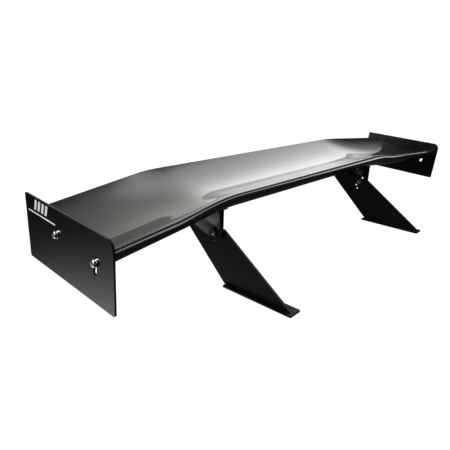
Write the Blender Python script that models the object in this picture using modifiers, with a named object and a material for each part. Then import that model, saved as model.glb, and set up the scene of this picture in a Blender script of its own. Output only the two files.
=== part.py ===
"""Adjustable rear wing for a racing car.

A hollow carbon airfoil of 1.54 m span hangs from two T brackets. Each bracket turns on a
pivot bolt at the top of a swept aluminium upright, and a clamp bolt in an arc slot sets the
angle of attack. A flat end plate closes each tip and turns on its rear bolt, with its front
bolt in a second arc slot.

Metres, +Z up, -Y is the front of the car and +X its left side. The origin lies under the
middle of the wing, at the height of the feet's undersides.
"""

import math

import bmesh
import bpy
from mathutils import Euler, Matrix, Vector

# Clearances, and a length for cutters that pass right through
GAP = 0.0003
BOND_LINE = 0.0010
SLOT_PLAY = 0.0005
CUTTER_LENGTH = 0.04

# Wing frame: its origin is the middle of the end plates, and it is pitched nose down
WING_DATUM = Vector((0.0, 0.0375, 0.193))
WING_PITCH = math.radians(3.4)

# Airfoil planform in the wing frame: distance from the middle, then y and z
TIP = 0.7655
NOSE_LINE = (
    (0.0, -0.072, 0.0425),
    (0.404, -0.072, 0.0425),
    (0.534, -0.086, 0.0300),
    (TIP, -0.137, 0.0350),
)
TAIL_LINE = ((0.0, 0.182, 0.0590), (0.452, 0.182, 0.0590), (TIP, 0.0925, 0.0537))
KINK_ROUNDING = 0.020
STATIONS = (0.0, 0.2, 0.384, 0.404, 0.424, 0.432, 0.452, 0.472, 0.514, 0.534, 0.554, 0.66, TIP)

# Airfoil section, as shares of the chord
CAMBER = 0.165
THICKNESS = 0.14
TAIL_HALF_THICKNESS = 0.0017
SKIN = 0.0015
CHORD_STEPS = 14
SEAM_STEP = 8
SEAM_GAP_SHARE = 0.0020

# Inside the airfoil
FRONT_SPAR_AT = 0.15
REAR_SPAR_AT = 0.84
SPAR_HALF_SHARE = 0.006
SPAR_END = 0.742
RIB_INNER = 0.7575
RIB_OUTER = 0.7650
RIB_FRONT_STEP = 2
RIB_REAR_STEP = 13
INSERT_RADIUS = 0.006
INSERT_LENGTH = 0.018

# End plates, in the wing frame
PLATE_INNER = 0.766
PLATE_THICKNESS = 0.004
PLATE_LENGTH = 0.300
PLATE_HEIGHT = 0.138
PLATE_NOSE_RADIUS = 0.019
PLATE_CORNER_RADIUS = 0.004
PLATE_REAR_BOLT = (0.0315, 0.019)
PLATE_FRONT_BOLT = (-0.097, 0.012)
PLATE_TRAVEL = math.radians(9.0)

# Feet and uprights
FOOT_FRONT = -0.2157
FOOT_LENGTH = 0.203
FOOT_INNER = 0.3613
FOOT_OUTER = 0.4005
FOOT_THICKNESS = 0.005
FOOT_HOLES = 4
FOOT_HOLE_RADIUS = 0.0035
FOOT_HOLE_INSET = 0.022
UPRIGHT_INNER = 0.3848
UPRIGHT_THICKNESS = 0.006
UPRIGHT_CORNERS = (
    (-0.2094, FOOT_THICKNESS + GAP, 0.0),
    (-0.0101, FOOT_THICKNESS + GAP, 0.0),
    (0.1819, 0.1845, 0.010),
    (0.1295, 0.1845, 0.010),
    (0.0400, 0.1465, 0.010),
    (-0.0032, 0.1455, 0.006),
)

# Angle adjustment: polar places round the pivot, forward and down from it
PIVOT = (0.1445, 0.1735)
CLAMP_RADIUS = 0.1278
CLAMP_ANGLE = math.radians(18.0)
WING_TRAVEL = math.radians(7.0)
INDEX_HOLES = ((0.1198, math.radians(26.4)), (0.1305, math.radians(29.8)))
INDEX_HOLE_RADIUS = 0.0035

# T brackets
WEB_THICKNESS = 0.006
WEB_INNER = UPRIGHT_INNER + UPRIGHT_THICKNESS + GAP
WEB_MIDDLE = WEB_INNER + WEB_THICKNESS / 2
WEB_FRONT = -0.0021
WEB_BOTTOM = 0.1232
WEB_STEP_UP = 0.0475
WEB_REAR = 0.1615
WEB_REAR_BOTTOM = 0.1605
WEB_FRONT_TOP_SLOPE = 0.35
WEB_REAR_TOP_SLOPE = 0.45
FLANGE_HALF_WIDTH = 0.0293
FLANGE_THICKNESS = 0.004
FLANGE_FROM = 0.1915
FLANGE_TO = 0.80
FLANGE_STEPS = 14
BLOCK_THICKNESS = 0.008
BLOCK_HALF_WIDTH = 0.0265
BLOCK_FROM = 0.24
BLOCK_TO = 0.72
SCREW_PLACES = (0.28, 0.66)
SCREW_SPREAD = 0.0185

# Fasteners: shank radius, shank length, head radius, head height, socket radius
PIVOT_BOLT = (0.004, 0.026, 0.0070, 0.0044, 0.0029)
CLAMP_BOLT = (0.003, 0.025, 0.0053, 0.0033, 0.0023)
PLATE_BOLT = (0.004, 0.022, 0.0072, 0.0046, 0.0029)
FLANGE_SCREW = (0.0025, 0.012, 0.00475, 0.00275, 0.0017)
DOME_SHOULDER = 0.35
PIVOT_NUT = (0.0075, 0.0065)
CLAMP_NUT = (0.0058, 0.0050)
PIVOT_WASHER_RADIUS = 0.0080
CLAMP_WASHER_RADIUS = 0.0062
PLATE_WASHER_RADIUS = 0.0082
WASHER_THICKNESS = 0.0016
BOLT_SIDES = 12
HOLE_SIDES = 16

SIDES = (("left", 1), ("right", -1))
IN_SIDE_VIEW = Euler((math.pi / 2, 0.0, math.pi / 2))


def new_collection(name):
    collection = bpy.data.collections.new(name)
    bpy.context.scene.collection.children.link(collection)
    return collection


def make_material(name, color, roughness, metallic):
    material = bpy.data.materials.new(name)
    material.use_nodes = True
    shader = material.node_tree.nodes["Principled BSDF"]
    shader.inputs["Base Color"].default_value = (*color, 1.0)
    shader.inputs["Roughness"].default_value = roughness
    shader.inputs["Metallic"].default_value = metallic
    return material


for leftover in list(bpy.data.objects):
    bpy.data.objects.remove(leftover)

WING_PARTS = new_collection("racing_rear_wing")
CUTTERS = new_collection("cutters")
CARBON = make_material("carbon", (0.035, 0.036, 0.038), 0.18, 0.0)
BLACK_PLATE = make_material("black_plate", (0.02, 0.02, 0.02), 0.35, 0.3)
BLACK_UPRIGHT = make_material("black_upright", (0.015, 0.015, 0.015), 0.4, 0.3)
ALUMINIUM = make_material("aluminium", (0.62, 0.63, 0.65), 0.4, 1.0)
STAINLESS = make_material("stainless", (0.75, 0.75, 0.74), 0.22, 1.0)


def add_object(name, data, material, parent=None, location=(0, 0, 0), rotation=(0, 0, 0)):
    piece = bpy.data.objects.new(name, data)
    WING_PARTS.objects.link(piece)
    piece.parent = parent
    piece.location = location
    piece.rotation_euler = rotation
    if not data.materials:
        data.materials.append(material)
    return piece


def add_empty(name, location, rotation=(0, 0, 0), parent=None):
    empty = bpy.data.objects.new(name, None)
    WING_PARTS.objects.link(empty)
    empty.parent = parent
    empty.location = location
    empty.rotation_euler = rotation
    return empty


def mesh_from(build, is_closed=True):
    """A mesh data block filled by build(bm), with a closed shape's faces turned outwards."""
    bm = bmesh.new()
    build(bm)
    if is_closed:
        bmesh.ops.recalc_face_normals(bm, faces=bm.faces)
    mesh = bpy.data.meshes.new("mesh")
    bm.to_mesh(mesh)
    bm.free()
    return mesh


def frozen(piece):
    """Swaps a curve or a piece with modifiers for one plain mesh of the same name and place."""
    bpy.context.view_layer.update()
    graph = bpy.context.evaluated_depsgraph_get()
    mesh = bpy.data.meshes.new_from_object(piece.evaluated_get(graph))
    bm = bmesh.new()
    bm.from_mesh(mesh)
    bmesh.ops.remove_doubles(bm, verts=bm.verts, dist=1e-6)
    bmesh.ops.recalc_face_normals(bm, faces=bm.faces)
    bm.to_mesh(mesh)
    bm.free()
    name, parent, place = piece.name, piece.parent, piece.matrix_world.copy()
    bpy.data.objects.remove(piece)
    solid = bpy.data.objects.new(name, mesh)
    WING_PARTS.objects.link(solid)
    solid.parent = parent
    bpy.context.view_layer.update()
    solid.matrix_world = place
    return solid


def as_cutter(piece):
    WING_PARTS.objects.unlink(piece)
    CUTTERS.objects.link(piece)
    piece.hide_render = True
    piece.display_type = "WIRE"
    return piece


def add_boolean(piece, other, operation):
    modifier = piece.modifiers.new(other.name, "BOOLEAN")
    modifier.operation = operation
    modifier.object = other


# Flat outlines


def arc_points(center, radius, start, end, steps):
    return [
        (
            center[0] + radius * math.cos(start + (end - start) * i / steps),
            center[1] + radius * math.sin(start + (end - start) * i / steps),
        )
        for i in range(steps + 1)
    ]


def circle_points(center, radius, sides=HOLE_SIDES):
    return arc_points(center, radius, 0.0, math.tau, sides)[:-1]


def rounded(corners, steps=4):
    """The outline through corners of (y, z, radius), with each corner's radius as an arc."""
    points = []
    for i, (y, z, radius) in enumerate(corners):
        here = Vector((y, z))
        if radius == 0.0:
            points.append(here[:])
            continue
        before = (Vector(corners[i - 1][:2]) - here).normalized()
        after = (Vector(corners[(i + 1) % len(corners)][:2]) - here).normalized()
        half = before.angle(after) / 2
        center = here + (before + after).normalized() * radius / math.sin(half)
        start = here + before * radius / math.tan(half) - center
        end = here + after * radius / math.tan(half) - center
        turn = start.angle_signed(end)
        for step in range(steps + 1):
            points.append((center + Matrix.Rotation(-turn * step / steps, 2) @ start)[:])
    return points


def arc_slot(center, radius, start, end, half_width, steps=5):
    """A slot of round ends whose middle line is an arc."""
    first = (center[0] + radius * math.cos(start), center[1] + radius * math.sin(start))
    last = (center[0] + radius * math.cos(end), center[1] + radius * math.sin(end))
    turn = math.copysign(math.pi, end - start)
    points = arc_points(center, radius + half_width, start, end, steps)
    points += arc_points(last, half_width, end, end + turn, steps)[1:-1]
    points += arc_points(center, radius - half_width, end, start, steps)
    points += arc_points(first, half_width, start + math.pi, start + math.pi + turn, steps)[1:-1]
    return points


def plate(name, outline, holes, thickness, material, **place):
    """A flat plate: a filled 2D curve, where each hole is a further spline."""
    curve = bpy.data.curves.new(name, "CURVE")
    curve.dimensions = "2D"
    curve.fill_mode = "BOTH"
    curve.extrude = thickness / 2
    for points in (outline, *holes):
        spline = curve.splines.new("POLY")
        spline.points.add(len(points) - 1)
        for point, (y, z) in zip(spline.points, points):
            point.co = (y, z, 0.0, 1.0)
        spline.use_cyclic_u = True
    return add_object(name, curve, material, **place)


def round_pivot(radius, angle):
    """The place forward of the pivot by radius, turned down from level by angle."""
    return (PIVOT[0] - radius * math.cos(angle), PIVOT[1] - radius * math.sin(angle))


# Airfoil surface, in the wing frame


def along(line, x):
    """(y, z) of a planform line at a distance x from the middle, with its kinks rounded."""
    x = abs(x)
    y, z = line[0][1:]
    for i, (x0, y0, z0) in enumerate(line[:-1]):
        x1, y1, z1 = line[i + 1]
        slope = Vector((y1 - y0, z1 - z0)) / (x1 - x0)
        reach = max(x - x0, 0.0)
        if i > 0:
            reach = past_kink(x - x0)
            slope -= last_slope
        y += slope[0] * reach
        z += slope[1] * reach
        last_slope = Vector((y1 - y0, z1 - z0)) / (x1 - x0)
    return y, z


def past_kink(distance):
    """The distance past a kink, eased in over the kink's rounding."""
    if distance <= -KINK_ROUNDING:
        return 0.0
    if distance >= KINK_ROUNDING:
        return distance
    return (distance + KINK_ROUNDING) ** 2 / (4 * KINK_ROUNDING)


def half_thickness(share, chord):
    """The four-digit series' half thickness, closed at the tail, plus a square tail edge."""
    powers = (
        0.2969 * math.sqrt(share),
        -0.1260 * share,
        -0.3516 * share**2,
        0.2843 * share**3,
        -0.1036 * share**4,
    )
    return 5 * THICKNESS * sum(powers) * chord + TAIL_HALF_THICKNESS * share


def surface(x, share, side, depth=0.0):
    """The skin at a share of the chord: side is 1 on top and -1 below, depth is inwards."""
    nose = Vector(along(NOSE_LINE, x))
    tail = Vector(along(TAIL_LINE, x))
    chord = (tail - nose).length
    forward = (tail - nose) / chord
    upward = Vector((-forward[1], forward[0]))
    drop = 4 * CAMBER * share * (1 - share) * chord
    slope = 4 * CAMBER * (1 - 2 * share)
    normal = (forward * slope + upward).normalized()
    offset = side * (half_thickness(share, chord) - depth)
    point = nose + forward * share * chord - upward * drop + normal * offset
    return Vector((x, point[0], point[1]))


def chord_share(step):
    """Steps grow from the nose, where the section bends most."""
    return (step / CHORD_STEPS) ** 2


def skin_mesh(rows):
    """An open half skin: rows(x) gives its points at each station, running forward on top."""

    def build(bm):
        grid = [[bm.verts.new(point) for point in rows(x)] for x in STATIONS]
        for near, far in zip(grid, grid[1:]):
            for i in range(len(near) - 1):
                bm.faces.new((near[i], near[i + 1], far[i + 1], far[i]))

    return mesh_from(build, is_closed=False)


def add_skin(name, rows):
    piece = add_object(name, skin_mesh(rows), CARBON, parent=wing_datum)
    mirror = piece.modifiers.new("Mirror", "MIRROR")
    mirror.merge_threshold = 0.0001
    shell = piece.modifiers.new("Solidify", "SOLIDIFY")
    shell.thickness = SKIN
    shell.offset = -1.0
    shell.use_even_offset = True
    return piece


def lower_rows(x):
    """From the seam on top, round the nose and back along the underside."""
    over_nose = [surface(x, chord_share(step), 1) for step in range(SEAM_STEP, 0, -1)]
    under = [surface(x, chord_share(step), -1) for step in range(CHORD_STEPS + 1)]
    return over_nose + under


def upper_rows(x):
    """From the tail forward to the seam."""
    seam = chord_share(SEAM_STEP) + SEAM_GAP_SHARE
    shares = [seam] + [chord_share(step) for step in range(SEAM_STEP + 1, CHORD_STEPS + 1)]
    return [surface(x, share, 1) for share in reversed(shares)]


def loft(rings):
    """A closed solid through rings of matching points."""

    def build(bm):
        grid = [[bm.verts.new(point) for point in ring] for ring in rings]
        count = len(grid[0])
        for near, far in zip(grid, grid[1:]):
            for i in range(count):
                j = (i + 1) % count
                bm.faces.new((near[i], far[i], far[j], near[j]))
        bm.faces.new(grid[0])
        bm.faces.new(reversed(grid[-1]))

    return mesh_from(build)


def slab_along_underside(stations, start, end, steps, shallow, deep):
    """A slab that follows the airfoil's underside between two depths."""
    shares = [start + (end - start) * i / steps for i in range(steps + 1)]
    rings = []
    for x in stations:
        bottom = [surface(x, share, -1, shallow) for share in shares]
        top = [surface(x, share, -1, deep) for share in reversed(shares)]
        rings.append(bottom + top)
    return loft(rings)


def make_airfoil():
    lower = add_skin("lower_skin", lower_rows)
    add_skin("upper_skin", upper_rows)
    add_boolean(lower, screw_holes, "DIFFERENCE")
    for name, place in (("front_spar", FRONT_SPAR_AT), ("rear_spar", REAR_SPAR_AT)):
        add_object(name, spar_mesh(place), CARBON, parent=wing_datum)


def spar_mesh(place):
    front, rear = place - SPAR_HALF_SHARE, place + SPAR_HALF_SHARE
    inner = [x for x in STATIONS if 0.0 < x < SPAR_END]
    stations = [-SPAR_END] + [-x for x in reversed(inner)] + [0.0] + inner + [SPAR_END]
    corners = ((front, -1), (rear, -1), (rear, 1), (front, 1))
    rings = [[surface(x, share, side, SKIN + BOND_LINE) for share, side in corners] for x in stations]
    return loft(rings)


def make_end_rib(label, sign):
    steps = range(RIB_FRONT_STEP, RIB_REAR_STEP)
    rings = []
    for x in (sign * RIB_INNER, sign * RIB_OUTER):
        below = [surface(x, chord_share(step), -1, SKIN + 2 * GAP) for step in steps]
        above = [surface(x, chord_share(step), 1, SKIN + 2 * GAP) for step in reversed(steps)]
        rings.append(below + above)
    rib = add_object(f"end_rib_{label}", loft(rings), ALUMINIUM, parent=wing_datum)
    for place_name, place in (("front", PLATE_FRONT_BOLT), ("rear", PLATE_REAR_BOLT)):
        hole = round_cutter(f"insert_hole_{place_name}_{label}", INSERT_RADIUS + GAP, CUTTER_LENGTH)
        hole.parent = wing_datum
        hole.location = (sign * RIB_INNER, *place)
        hole.rotation_euler = IN_SIDE_VIEW
        add_boolean(rib, hole, "DIFFERENCE")
        insert = add_object(
            f"insert_{place_name}_{label}",
            ring_mesh("insert", PLATE_BOLT[0] + GAP, INSERT_RADIUS, INSERT_LENGTH),
            ALUMINIUM,
            parent=wing_datum,
            location=(sign * (RIB_OUTER - INSERT_LENGTH / 2), *place),
            rotation=IN_SIDE_VIEW,
        )
        insert.data.shade_smooth()
        insert.data.set_sharp_from_angle(angle=math.radians(40))


def round_cutter(name, radius, length):
    def build(bm):
        bmesh.ops.create_cone(
            bm, cap_ends=True, segments=HOLE_SIDES, radius1=radius, radius2=radius, depth=length
        )

    return as_cutter(add_object(name, mesh_from(build), ALUMINIUM))


# Turned fasteners: their axis is local Z, with the head on top and its underside at zero


def turned_mesh(name, profile, steps=BOLT_SIDES):
    """The solid that a profile of (radius, z) sweeps, from its top down its outer side."""
    mesh = bpy.data.meshes.new(name)
    mesh.from_pydata([(radius, 0.0, z) for radius, z in profile], closed_edges(profile), [])
    turned = add_object(name, mesh, STAINLESS)
    screw = turned.modifiers.new("Screw", "SCREW")
    screw.steps = steps
    screw.render_steps = steps
    screw.use_merge_vertices = True
    screw.merge_threshold = 0.00001
    return turned


def closed_edges(profile):
    """Edges down the profile, closed into a loop if it doesn't start on the axis."""
    edges = [(i, i + 1) for i in range(len(profile) - 1)]
    if profile[0][0] > 0.0:
        edges.append((len(profile) - 1, 0))
    return edges


def taken_mesh(piece, name):
    """The finished mesh of a helper piece, which is removed."""
    solid = frozen(piece)
    mesh = solid.data
    mesh.name = name
    bpy.data.objects.remove(solid)
    if mesh.materials and mesh.materials[0] is None:
        mesh.materials.clear()
    mesh.shade_smooth()
    mesh.set_sharp_from_angle(angle=math.radians(40))
    return mesh


def ring_mesh(name, inner, outer, thickness):
    top, bottom = thickness / 2, -thickness / 2
    profile = [(inner, top), (outer, top), (outer, bottom), (inner, bottom)]
    return taken_mesh(turned_mesh(name + "_turned", profile), name)


def bolt_mesh(name, shank_radius, shank_length, head_radius, head_height, socket_radius):
    """A button-head bolt: a domed head with a hexagon socket, and a chamfered plain shank."""
    chamfer = shank_radius * 0.25
    profile = [
        (0.0, head_height),
        (head_radius * 0.65, head_height),
        (head_radius, head_height * DOME_SHOULDER),
        (head_radius, 0.0),
        (shank_radius, 0.0),
        (shank_radius, chamfer - shank_length),
        (shank_radius - chamfer, -shank_length),
        (0.0, -shank_length),
    ]
    bolt = turned_mesh(name + "_turned", profile)

    def socket(bm):
        depth = head_height * 1.2
        bmesh.ops.create_cone(
            bm, cap_ends=True, segments=6, radius1=socket_radius, radius2=socket_radius, depth=depth
        )
        bmesh.ops.translate(bm, verts=bm.verts, vec=(0, 0, head_height))

    cutter = as_cutter(add_object(name + "_socket", mesh_from(socket), STAINLESS))
    add_boolean(bolt, cutter, "DIFFERENCE")
    mesh = taken_mesh(bolt, name)
    bpy.data.objects.remove(cutter)
    return mesh


def nut_mesh(name, across_corners, height, bore_radius):
    """A hexagon nut, centred on its axis and height."""

    def body(bm):
        bmesh.ops.create_cone(
            bm, cap_ends=True, segments=6, radius1=across_corners, radius2=across_corners, depth=height
        )

    nut = add_object(name + "_blank", mesh_from(body), STAINLESS)
    bore = round_cutter(name + "_bore", bore_radius, 3 * height)
    add_boolean(nut, bore, "DIFFERENCE")
    mesh = taken_mesh(nut, name)
    bpy.data.objects.remove(bore)
    return mesh


def facing_out(sign):
    """Turns a fastener's head from local +Z to the outboard side."""
    return (0.0, sign * math.pi / 2, 0.0)


def add_bolt_set(name, label, sign, place, bolt, washer, nut, nut_height):
    """A bolt through the bracket's web and the upright: head outboard, nut inboard."""
    web_outer = WEB_INNER + WEB_THICKNESS
    turn = facing_out(sign)
    heights = {
        f"{name}_bolt_{label}": (bolt, web_outer + 2 * GAP + WASHER_THICKNESS),
        f"{name}_washer_outer_{label}": (washer, web_outer + GAP + WASHER_THICKNESS / 2),
        f"{name}_washer_inner_{label}": (washer, UPRIGHT_INNER - GAP - WASHER_THICKNESS / 2),
        f"{name}_nut_{label}": (nut, UPRIGHT_INNER - 2 * GAP - WASHER_THICKNESS - nut_height / 2),
    }
    for node, (mesh, x) in heights.items():
        add_object(node, mesh, STAINLESS, location=(sign * x, *place), rotation=turn)


def screw_frame(x, share):
    """The place and upward direction of a flange screw, square to the flange's lower face."""
    depth = -(3 * GAP + FLANGE_THICKNESS)
    reach = FLANGE_SCREW[2]
    spanwise = surface(x + reach, share, -1, depth) - surface(x - reach, share, -1, depth)
    chordwise = surface(x, share + 0.02, -1, depth) - surface(x, share - 0.02, -1, depth)
    return surface(x, share, -1, depth), spanwise.cross(chordwise).normalized()


def screw_xs(sign):
    return (sign * (WEB_MIDDLE - SCREW_SPREAD), sign * (WEB_MIDDLE + SCREW_SPREAD))


def make_screw_holes():
    """One cutter that holds the holes of all the flange screws."""

    def build(bm):
        for _, sign in SIDES:
            for x in screw_xs(sign):
                for share in SCREW_PLACES:
                    under, up = screw_frame(x, share)
                    place = Matrix.Translation(under) @ up.to_track_quat("Z", "Y").to_matrix().to_4x4()
                    radius = FLANGE_SCREW[0] + GAP
                    bmesh.ops.create_cone(
                        bm,
                        cap_ends=True,
                        segments=12,
                        radius1=radius,
                        radius2=radius,
                        depth=CUTTER_LENGTH,
                        matrix=place,
                    )

    return as_cutter(add_object("screw_holes", mesh_from(build), ALUMINIUM, parent=wing_datum))


def make_mount_block(label, sign):
    """The threaded block inside the airfoil that the flange screws pull on."""
    edges = (WEB_MIDDLE - BLOCK_HALF_WIDTH, 0.384, 0.404, WEB_MIDDLE + BLOCK_HALF_WIDTH)
    depth = SKIN + BOND_LINE
    mesh = slab_along_underside(
        [sign * x for x in edges], BLOCK_FROM, BLOCK_TO, 8, depth, depth + BLOCK_THICKNESS
    )
    block = add_object(f"mount_block_{label}", mesh, ALUMINIUM, parent=wing_datum)
    add_boolean(block, screw_holes, "DIFFERENCE")


def make_bracket(label, sign):
    """A T bracket: a flange that follows the underside, and a web beside the upright."""
    edges = (WEB_MIDDLE - FLANGE_HALF_WIDTH, 0.384, 0.404, WEB_MIDDLE + FLANGE_HALF_WIDTH)
    mesh = slab_along_underside(
        [sign * x for x in edges], FLANGE_FROM, FLANGE_TO, FLANGE_STEPS, -GAP - FLANGE_THICKNESS, -GAP
    )
    bracket = add_object(f"bracket_{label}", mesh, BLACK_UPRIGHT, parent=wing_datum)
    web = frozen(
        plate(
            f"bracket_web_{label}",
            web_outline(),
            (
                circle_points(PIVOT, PIVOT_BOLT[0] + SLOT_PLAY),
                arc_slot(
                    PIVOT,
                    CLAMP_RADIUS,
                    math.pi + CLAMP_ANGLE,
                    math.pi + CLAMP_ANGLE - WING_TRAVEL,
                    CLAMP_BOLT[0] + SLOT_PLAY,
                ),
            ),
            WEB_THICKNESS,
            BLACK_UPRIGHT,
            location=(sign * WEB_MIDDLE, 0.0, 0.0),
            rotation=IN_SIDE_VIEW,
        )
    )
    add_boolean(bracket, as_cutter(web), "UNION")
    add_boolean(bracket, screw_holes, "DIFFERENCE")
    for place, x in zip(("inner", "outer"), screw_xs(sign)):
        for row, share in zip(("front", "rear"), SCREW_PLACES):
            under, up = screw_frame(x, share)
            turn = (-up).to_track_quat("Z", "Y").to_euler()
            name = f"flange_screw_{row}_{place}_{label}"
            add_object(name, flange_screw, STAINLESS, parent=wing_datum, location=under, rotation=turn)


def web_outline():
    """The web's side view: its top edge runs inside the flange, half way through it."""
    pitch = Matrix.Rotation(WING_PITCH, 3, "X")
    top = []
    for i in range(FLANGE_STEPS + 1):
        share = FLANGE_FROM + (FLANGE_TO - FLANGE_FROM) * i / FLANGE_STEPS
        point = pitch @ surface(WEB_MIDDLE, share, -1, -GAP - FLANGE_THICKNESS / 2) + WING_DATUM
        if WEB_FRONT < point.y < WEB_REAR:
            top.append((point.y, point.z))
    front_top = (WEB_FRONT, top[0][1] + (top[0][0] - WEB_FRONT) * WEB_FRONT_TOP_SLOPE, 0.0)
    rear_top = (WEB_REAR, top[-1][1] + (WEB_REAR - top[-1][0]) * WEB_REAR_TOP_SLOPE, 0.0)
    bottom = (
        (WEB_FRONT, WEB_BOTTOM, 0.003),
        (WEB_STEP_UP, WEB_BOTTOM, 0.020),
        (WEB_REAR, WEB_REAR_BOTTOM, 0.008),
    )
    return rounded([*bottom, rear_top, *((y, z, 0.0) for y, z in reversed(top)), front_top])


def make_upright(label, sign):
    holes = [circle_points(PIVOT, PIVOT_BOLT[0] + SLOT_PLAY)]
    holes.append(circle_points(round_pivot(CLAMP_RADIUS, CLAMP_ANGLE), CLAMP_BOLT[0] + SLOT_PLAY))
    holes += [circle_points(round_pivot(*place), INDEX_HOLE_RADIUS) for place in INDEX_HOLES]
    plate(
        f"upright_{label}",
        rounded(UPRIGHT_CORNERS),
        holes,
        UPRIGHT_THICKNESS,
        BLACK_UPRIGHT,
        location=(sign * (UPRIGHT_INNER + UPRIGHT_THICKNESS / 2), 0.0, 0.0),
        rotation=IN_SIDE_VIEW,
    )


def make_foot(label, sign):
    """The foot is drawn from above, and its holes lie between its inner edge and the upright."""
    inner, outer = sorted((sign * FOOT_INNER, sign * FOOT_OUTER))
    rear = FOOT_FRONT + FOOT_LENGTH
    outline = rounded(
        (
            (inner, FOOT_FRONT, 0.002),
            (outer, FOOT_FRONT, 0.002),
            (outer, rear, 0.002),
            (inner, rear, 0.002),
        ),
        steps=2,
    )
    x = sign * (FOOT_INNER + UPRIGHT_INNER) / 2
    spacing = (FOOT_LENGTH - 2 * FOOT_HOLE_INSET) / (FOOT_HOLES - 1)
    ys = [FOOT_FRONT + FOOT_HOLE_INSET + spacing * i for i in range(FOOT_HOLES)]
    holes = [circle_points((x, y), FOOT_HOLE_RADIUS) for y in ys]
    plate(
        f"foot_{label}",
        outline,
        holes,
        FOOT_THICKNESS,
        BLACK_UPRIGHT,
        location=(0.0, 0.0, FOOT_THICKNESS / 2),
    )


def make_end_plate(label, sign):
    """The plate's own origin is its rear bolt, which it turns on."""
    bolt_y, bolt_z = PLATE_REAR_BOLT
    front, rear = -PLATE_LENGTH / 2 - bolt_y, PLATE_LENGTH / 2 - bolt_y
    bottom, top = -PLATE_HEIGHT / 2 - bolt_z, PLATE_HEIGHT / 2 - bolt_z
    outline = rounded(
        (
            (front, bottom, PLATE_CORNER_RADIUS),
            (rear, bottom, PLATE_CORNER_RADIUS),
            (rear, top, PLATE_CORNER_RADIUS),
            (front, top, PLATE_NOSE_RADIUS),
        ),
        steps=6,
    )
    reach = Vector((PLATE_FRONT_BOLT[0] - bolt_y, PLATE_FRONT_BOLT[1] - bolt_z))
    angle = math.pi + math.atan2(-reach[1], -reach[0])
    half_width = PLATE_BOLT[0] + SLOT_PLAY
    slot = arc_slot((0.0, 0.0), reach.length, angle, angle + PLATE_TRAVEL, half_width)
    plate(
        f"end_plate_{label}",
        outline,
        (circle_points((0.0, 0.0), half_width), slot),
        PLATE_THICKNESS,
        BLACK_PLATE,
        parent=wing_datum,
        location=(sign * (PLATE_INNER + PLATE_THICKNESS / 2), bolt_y, bolt_z),
        rotation=IN_SIDE_VIEW,
    )
    face = PLATE_INNER + PLATE_THICKNESS
    for place_name, place in (("front", PLATE_FRONT_BOLT), ("rear", PLATE_REAR_BOLT)):
        turn = facing_out(sign)
        washer_x = sign * (face + GAP + WASHER_THICKNESS / 2)
        bolt_x = sign * (face + 2 * GAP + WASHER_THICKNESS)
        add_object(
            f"plate_washer_{place_name}_{label}",
            plate_washer,
            STAINLESS,
            wing_datum,
            (washer_x, *place),
            turn,
        )
        add_object(
            f"plate_bolt_{place_name}_{label}",
            plate_bolt,
            STAINLESS,
            wing_datum,
            (bolt_x, *place),
            turn,
        )


wing_pivot = add_empty("wing_pivot", (0.0, *PIVOT))
wing_datum = add_empty(
    "wing_datum", WING_DATUM - Vector((0.0, *PIVOT)), (WING_PITCH, 0.0, 0.0), parent=wing_pivot
)
bpy.context.view_layer.update()

plate_bolt = bolt_mesh("plate_bolt", *PLATE_BOLT)
pivot_bolt = bolt_mesh("pivot_bolt", *PIVOT_BOLT)
clamp_bolt = bolt_mesh("clamp_bolt", *CLAMP_BOLT)
flange_screw = bolt_mesh("flange_screw", *FLANGE_SCREW)
pivot_nut = nut_mesh("pivot_nut", *PIVOT_NUT, PIVOT_BOLT[0] + GAP)
clamp_nut = nut_mesh("clamp_nut", *CLAMP_NUT, CLAMP_BOLT[0] + GAP)
plate_washer = ring_mesh("plate_washer", PLATE_BOLT[0] + GAP, PLATE_WASHER_RADIUS, WASHER_THICKNESS)
pivot_washer = ring_mesh("pivot_washer", PIVOT_BOLT[0] + GAP, PIVOT_WASHER_RADIUS, WASHER_THICKNESS)
clamp_washer = ring_mesh("clamp_washer", CLAMP_BOLT[0] + GAP, CLAMP_WASHER_RADIUS, WASHER_THICKNESS)

screw_holes = make_screw_holes()
make_airfoil()
clamp_place = round_pivot(CLAMP_RADIUS, CLAMP_ANGLE)
for label, sign in SIDES:
    make_foot(label, sign)
    make_upright(label, sign)
    make_bracket(label, sign)
    make_mount_block(label, sign)
    make_end_rib(label, sign)
    make_end_plate(label, sign)
    add_bolt_set("pivot", label, sign, PIVOT, pivot_bolt, pivot_washer, pivot_nut, PIVOT_NUT[1])
    add_bolt_set("clamp", label, sign, clamp_place, clamp_bolt, clamp_washer, clamp_nut, CLAMP_NUT[1])
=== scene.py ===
"""Looks of an adjustable racing rear wing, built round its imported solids.

The carbon skins, the plates, the T brackets, the uprights, the feet and every fastener are
modelled finely here and stand in for their solids. The spars, blocks, ribs and inserts inside
the airfoil keep their solids. Metres, +Z up, -Y is the front of the car.
"""

import math
from collections import namedtuple

import bmesh
import bpy
from mathutils import Matrix, Vector


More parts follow.
